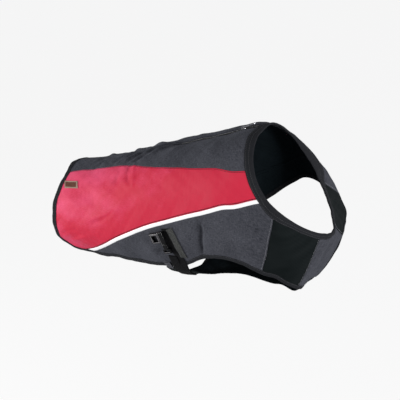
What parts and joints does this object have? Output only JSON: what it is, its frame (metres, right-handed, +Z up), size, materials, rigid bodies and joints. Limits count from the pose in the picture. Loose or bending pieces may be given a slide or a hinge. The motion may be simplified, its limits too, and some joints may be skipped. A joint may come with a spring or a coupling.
{
  "type": "dog coat",
  "caption": "Fitted dog coat with belly strap, side buckles, zipped back, white piping and open neck, rump and leg holes, filled out as when worn.",
  "frame": {"origin": "in the cloth of the neck edge on the spine line, where the wearer's shoulders carry the coat", "axes": "+X along the back to the neck, +Y to the wearer's side away from the picture's viewer, +Z up"},
  "size_m": [0.5585, 0.2745, 0.3108],
  "materials": {
    "charcoal_cloth": "matt heathered softshell cloth",
    "red_cloth": "slightly shiny coated cloth",
    "black_stretch": "smooth stretch knit",
    "black_binding": "folded elastic binding with two rows of stitching",
    "white_piping": "reflective white piping tape",
    "black_plastic": "moulded plastic",
    "black_webbing": "woven webbing",
    "zip_metal": "satin metal",
    "zip_tape_black": "woven zip tape and coil",
    "label_cloth": "woven label",
    "grey_webbing": "ribbed webbing"
  },
  "bodies": {
    "coat": {"back_panel": "charcoal_cloth", "belly_panel": "black_stretch", "buckle_plug_far": "black_plastic", "buckle_plug_near": "black_plastic", "buckle_socket_far": "black_plastic", "buckle_socket_near": "black_plastic", "chest_panel": "charcoal_cloth", "flank_panel_far": "charcoal_cloth", "flank_panel_near": "charcoal_cloth", "girth_strap": "black_webbing", "leg_binding_far": "black_binding", "leg_binding_near": "black_binding", "neck_binding": "black_binding", "piping_far": "white_piping", "piping_near": "white_piping", "ribbed_tape_far": "grey_webbing", "ribbed_tape_near": "grey_webbing", "rump_binding": "black_binding", "side_label": "label_cloth", "side_panel_far": "red_cloth", "side_panel_near": "red_cloth", "strap_fold_far": "grey_webbing", "strap_fold_near": "grey_webbing", "stretch_panel_far": "black_stretch", "stretch_panel_near": "black_stretch", "zip_chain": "zip_tape_black", "zip_end_far": "zip_tape_black", "zip_end_near": "zip_tape_black", "zip_slider": "zip_metal", "zip_tape_far": "zip_tape_black", "zip_tape_near": "zip_tape_black"},
    "pull": {"zip_pull_tab": "zip_metal"}
  },
  "joints": [
    {"name": "zip_pull_hinge", "type": "hinge", "parent": "coat", "child": "pull", "pos_m": [-0.04066, 0, -0.00557], "axis": [0, -1, 0], "range_deg": [0, 160]}
  ]
}
